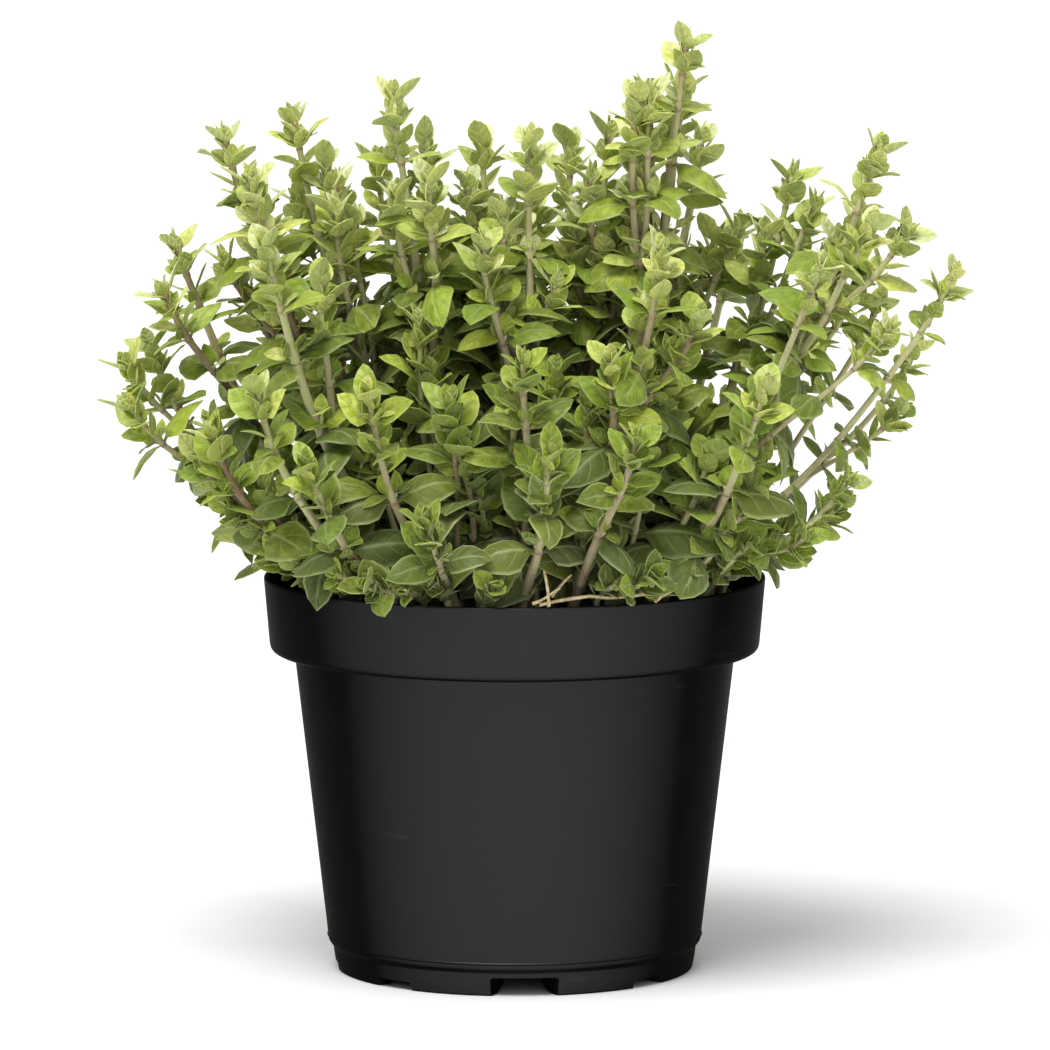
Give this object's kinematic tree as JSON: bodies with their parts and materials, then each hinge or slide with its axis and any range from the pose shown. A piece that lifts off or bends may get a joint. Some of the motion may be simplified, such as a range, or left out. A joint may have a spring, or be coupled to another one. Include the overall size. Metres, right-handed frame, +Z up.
{
  "type": "potted oregano plant",
  "caption": "Oregano plant in a round tapered nursery pot: square stems with opposite oval leaves fan out of the soil over the pot's collar.",
  "frame": {"origin": "on the surface that the pot's feet stand on, under the middle of the whole plant's box; the pot's own axis is 5.2 mm to -X and 3.7 mm to -Y of it, because the plant leans out unevenly", "axes": "+Z up along the pot's axis, -Y the front, +X to the right seen from the front"},
  "size_m": [0.2266, 0.1722, 0.2479],
  "materials": {
    "pot": "satin",
    "soil": "matte",
    "foliage": "matte",
    "dry_stalk": "matte"
  },
  "bodies": {
    "root": {"pot": "pot", "soil": "soil", "leafy_stem_01": "foliage", "leafy_stem_02": "foliage", "leafy_stem_03": "foliage", "leafy_stem_04": "foliage", "leafy_stem_05": "foliage", "leafy_stem_06": "foliage", "leafy_stem_07": "foliage", "leafy_stem_08": "foliage", "leafy_stem_09": "foliage", "leafy_stem_10": "foliage", "leafy_stem_11": "foliage", "leafy_stem_12": "foliage", "leafy_stem_13": "foliage", "leafy_stem_14": "foliage", "leafy_stem_15": "foliage", "leafy_stem_16": "foliage", "leafy_stem_17": "foliage", "leafy_stem_18": "foliage", "leafy_stem_19": "foliage", "leafy_stem_20": "foliage", "leafy_stem_21": "foliage", "leafy_stem_22": "foliage", "leafy_stem_23": "foliage", "leafy_stem_24": "foliage", "leafy_stem_25": "foliage", "leafy_stem_26": "foliage", "leafy_stem_27": "foliage", "leafy_stem_28": "foliage", "leafy_stem_29": "foliage", "leafy_stem_30": "foliage", "leafy_stem_31": "foliage", "leafy_stem_32": "foliage", "leafy_stem_33": "foliage", "leafy_stem_34": "foliage", "leafy_stem_35": "foliage", "leafy_stem_36": "foliage", "leafy_stem_37": "foliage", "leafy_stem_38": "foliage", "leafy_stem_39": "foliage", "leafy_stem_40": "foliage", "leafy_stem_41": "foliage", "leafy_stem_42": "foliage", "dry_stalk_01": "dry_stalk", "dry_stalk_02": "dry_stalk", "dry_stalk_03": "dry_stalk"}
  },
  "joints": []
}
